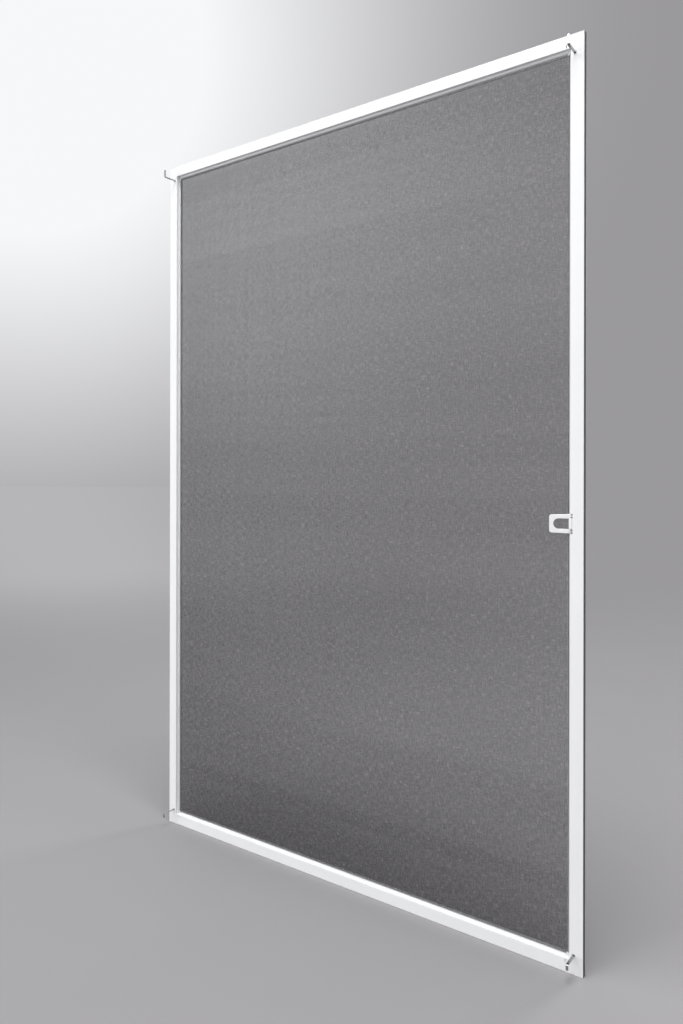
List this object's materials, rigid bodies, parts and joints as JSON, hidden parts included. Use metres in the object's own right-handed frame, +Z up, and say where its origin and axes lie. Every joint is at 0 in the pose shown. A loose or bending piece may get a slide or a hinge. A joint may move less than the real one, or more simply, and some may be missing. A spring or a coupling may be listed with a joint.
{
  "type": "window insect screen",
  "caption": "Slim white framed insect screen for a window, with a dark mesh held in a groove, a pile seal round the edge, bent steel hanging hooks and a finger tab.",
  "frame": {"origin": "under the middle of the whole object, on the level of its lowest point, the pile of the bottom seal", "axes": "+X to the right seen from the room, +Y from the room side to the outside, +Z up"},
  "size_m": [0.9606, 0.0414, 1.5007],
  "materials": {
    "white_frame": "satin white powder coat",
    "white_corner": "fine matt moulded white",
    "bright_steel": "bright rolled strip",
    "grey_spline": "matt light grey",
    "dark_pile": "dense woven pile",
    "dark_mesh": "coated glass fibre thread",
    "white_tab": "smooth moulded white"
  },
  "bodies": {
    "root": {"left_rail": "white_frame", "top_rail": "white_frame", "right_rail": "white_frame", "bottom_rail": "white_frame", "bottom_left_corner": "white_corner", "top_left_corner": "white_corner", "top_right_corner": "white_corner", "bottom_right_corner": "white_corner", "bottom_left_hook": "bright_steel", "top_left_hook": "bright_steel", "top_right_hook": "bright_steel", "bottom_right_hook": "bright_steel", "left_spline": "grey_spline", "top_spline": "grey_spline", "right_spline": "grey_spline", "bottom_spline": "grey_spline", "left_seal": "dark_pile", "top_seal": "dark_pile", "right_seal": "dark_pile", "bottom_seal": "dark_pile", "insect_mesh": "dark_mesh", "pull_tab": "white_tab"}
  },
  "joints": []
}
